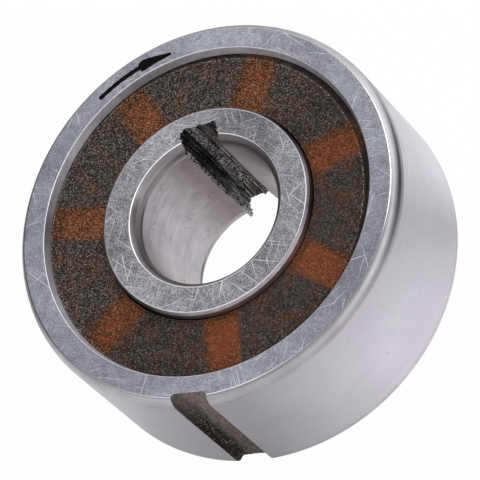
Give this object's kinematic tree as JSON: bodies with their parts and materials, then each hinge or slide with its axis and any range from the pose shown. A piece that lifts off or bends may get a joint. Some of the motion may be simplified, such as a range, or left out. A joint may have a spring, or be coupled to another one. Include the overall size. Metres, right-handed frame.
{
  "type": "sprag clutch",
  "caption": "One-way clutch bearing: keyed inner and outer rings with sprags and balls in a caged row between them, closed by thin translucent shields.",
  "frame": {"origin": "centre of the bore at the rear face, which the clutch lies on", "axes": "+Z along the common axis of the rings, from the rear face to the front face with the arrow; the keyway on the outside faces -Y"},
  "size_m": [0.022, 0.022, 0.009],
  "materials": {
    "ring_steel": "ground bearing steel",
    "shield": "translucent amber-brown laminate, finely speckled",
    "cage_polymer": "moulded orange-brown polymer, oiled",
    "ball_steel": "lapped bearing steel",
    "sprag_steel": "drawn and hardened steel, oiled",
    "spring_steel": "blue-tempered spring strip"
  },
  "bodies": {
    "outer_race": {"outer_ring": "ring_steel", "front_shield": "shield", "rear_shield": "shield"},
    "inner_race": {"inner_ring": "ring_steel"},
    "cage_set": {"cage": "cage_polymer", "sprag_spring_1": "spring_steel", "sprag_spring_2": "spring_steel", "sprag_spring_3": "spring_steel", "sprag_spring_4": "spring_steel", "sprag_spring_5": "spring_steel", "sprag_spring_6": "spring_steel", "sprag_spring_7": "spring_steel"},
    "ball_1_body": {"ball_1": "ball_steel"},
    "ball_2_body": {"ball_2": "ball_steel"},
    "ball_3_body": {"ball_3": "ball_steel"},
    "ball_4_body": {"ball_4": "ball_steel"},
    "ball_5_body": {"ball_5": "ball_steel"},
    "ball_6_body": {"ball_6": "ball_steel"},
    "ball_7_body": {"ball_7": "ball_steel"},
    "sprag_1_body": {"sprag_1": "sprag_steel"},
    "sprag_2_body": {"sprag_2": "sprag_steel"},
    "sprag_3_body": {"sprag_3": "sprag_steel"},
    "sprag_4_body": {"sprag_4": "sprag_steel"},
    "sprag_5_body": {"sprag_5": "sprag_steel"},
    "sprag_6_body": {"sprag_6": "sprag_steel"},
    "sprag_7_body": {"sprag_7": "sprag_steel"}
  },
  "joints": [
    {"name": "inner_ring_spin", "type": "hinge", "parent": "outer_race", "child": "inner_race", "pos_m": [0, 0, 0.0045], "axis": [0, 0, 1], "range_deg": [0, 360]},
    {"name": "cage_orbit", "type": "hinge", "parent": "outer_race", "child": "cage_set", "pos_m": [0, 0, 0.0045], "axis": [0, 0, 1], "range_deg": [0, 137.2]},
    {"name": "ball_1_spin", "type": "hinge", "parent": "cage_set", "child": "ball_1_body", "pos_m": [-0.00618, -0.00426, 0.0045], "axis": [0, 0, 1], "range_deg": [-713.1, 0]},
    {"name": "ball_2_spin", "type": "hinge", "parent": "cage_set", "child": "ball_2_body", "pos_m": [-0.00052, -0.00748, 0.0045], "axis": [0, 0, 1], "range_deg": [-713.1, 0]},
    {"name": "ball_3_spin", "type": "hinge", "parent": "cage_set", "child": "ball_3_body", "pos_m": [0.00552, -0.00507, 0.0045], "axis": [0, 0, 1], "range_deg": [-713.1, 0]},
    {"name": "ball_4_spin", "type": "hinge", "parent": "cage_set", "child": "ball_4_body", "pos_m": [0.00741, 0.00115, 0.0045], "axis": [0, 0, 1], "range_deg": [-713.1, 0]},
    {"name": "ball_5_spin", "type": "hinge", "parent": "cage_set", "child": "ball_5_body", "pos_m": [0.00372, 0.00651, 0.0045], "axis": [0, 0, 1], "range_deg": [-713.1, 0]},
    {"name": "ball_6_spin", "type": "hinge", "parent": "cage_set", "child": "ball_6_body", "pos_m": [-0.00277, 0.00697, 0.0045], "axis": [0, 0, 1], "range_deg": [-713.1, 0]},
    {"name": "ball_7_spin", "type": "hinge", "parent": "cage_set", "child": "ball_7_body", "pos_m": [-0.00718, 0.00217, 0.0045], "axis": [0, 0, 1], "range_deg": [-713.1, 0]},
    {"name": "sprag_1_tilt", "type": "hinge", "parent": "cage_set", "child": "sprag_1_body", "pos_m": [-0.00735, -0.0015, 0.0045], "axis": [0, 0, -1], "range_deg": [0, 4], "stiffness_Nm_per_rad": 0.0002, "springref_deg": -5.73},
    {"name": "sprag_2_tilt", "type": "hinge", "parent": "cage_set", "child": "sprag_2_body", "pos_m": [-0.00341, -0.00668, 0.0045], "axis": [0, 0, -1], "range_deg": [0, 4], "stiffness_Nm_per_rad": 0.0002, "springref_deg": -5.73},
    {"name": "sprag_3_tilt", "type": "hinge", "parent": "cage_set", "child": "sprag_3_body", "pos_m": [0.0031, -0.00683, 0.0045], "axis": [0, 0, -1], "range_deg": [0, 4], "stiffness_Nm_per_rad": 0.0002, "springref_deg": -5.73},
    {"name": "sprag_4_tilt", "type": "hinge", "parent": "cage_set", "child": "sprag_4_body", "pos_m": [0.00727, -0.00184, 0.0045], "axis": [0, 0, -1], "range_deg": [0, 4], "stiffness_Nm_per_rad": 0.0002, "springref_deg": -5.73},
    {"name": "sprag_5_tilt", "type": "hinge", "parent": "cage_set", "child": "sprag_5_body", "pos_m": [0.00597, 0.00454, 0.0045], "axis": [0, 0, -1], "range_deg": [0, 4], "stiffness_Nm_per_rad": 0.0002, "springref_deg": -5.73},
    {"name": "sprag_6_tilt", "type": "hinge", "parent": "cage_set", "child": "sprag_6_body", "pos_m": [0.00017, 0.0075, 0.0045], "axis": [0, 0, -1], "range_deg": [0, 4], "stiffness_Nm_per_rad": 0.0002, "springref_deg": -5.73},
    {"name": "sprag_7_tilt", "type": "hinge", "parent": "cage_set", "child": "sprag_7_body", "pos_m": [-0.00575, 0.00481, 0.0045], "axis": [0, 0, -1], "range_deg": [0, 4], "stiffness_Nm_per_rad": 0.0002, "springref_deg": -5.73}
  ],
  "couplings": [
    {"joint": "cage_orbit", "follows": "inner_ring_spin", "ratio": 0.38093},
    {"joint": "ball_1_spin", "follows": "inner_ring_spin", "ratio": -1.9806},
    {"joint": "ball_2_spin", "follows": "inner_ring_spin", "ratio": -1.9806},
    {"joint": "ball_3_spin", "follows": "inner_ring_spin", "ratio": -1.9806},
    {"joint": "ball_4_spin", "follows": "inner_ring_spin", "ratio": -1.9806},
    {"joint": "ball_5_spin", "follows": "inner_ring_spin", "ratio": -1.9806},
    {"joint": "ball_6_spin", "follows": "inner_ring_spin", "ratio": -1.9806},
    {"joint": "ball_7_spin", "follows": "inner_ring_spin", "ratio": -1.9806},
    {"joint": "sprag_2_tilt", "follows": "sprag_1_tilt", "ratio": 1},
    {"joint": "sprag_3_tilt", "follows": "sprag_1_tilt", "ratio": 1},
    {"joint": "sprag_4_tilt", "follows": "sprag_1_tilt", "ratio": 1},
    {"joint": "sprag_5_tilt", "follows": "sprag_1_tilt", "ratio": 1},
    {"joint": "sprag_6_tilt", "follows": "sprag_1_tilt", "ratio": 1},
    {"joint": "sprag_7_tilt", "follows": "sprag_1_tilt", "ratio": 1}
  ]
}
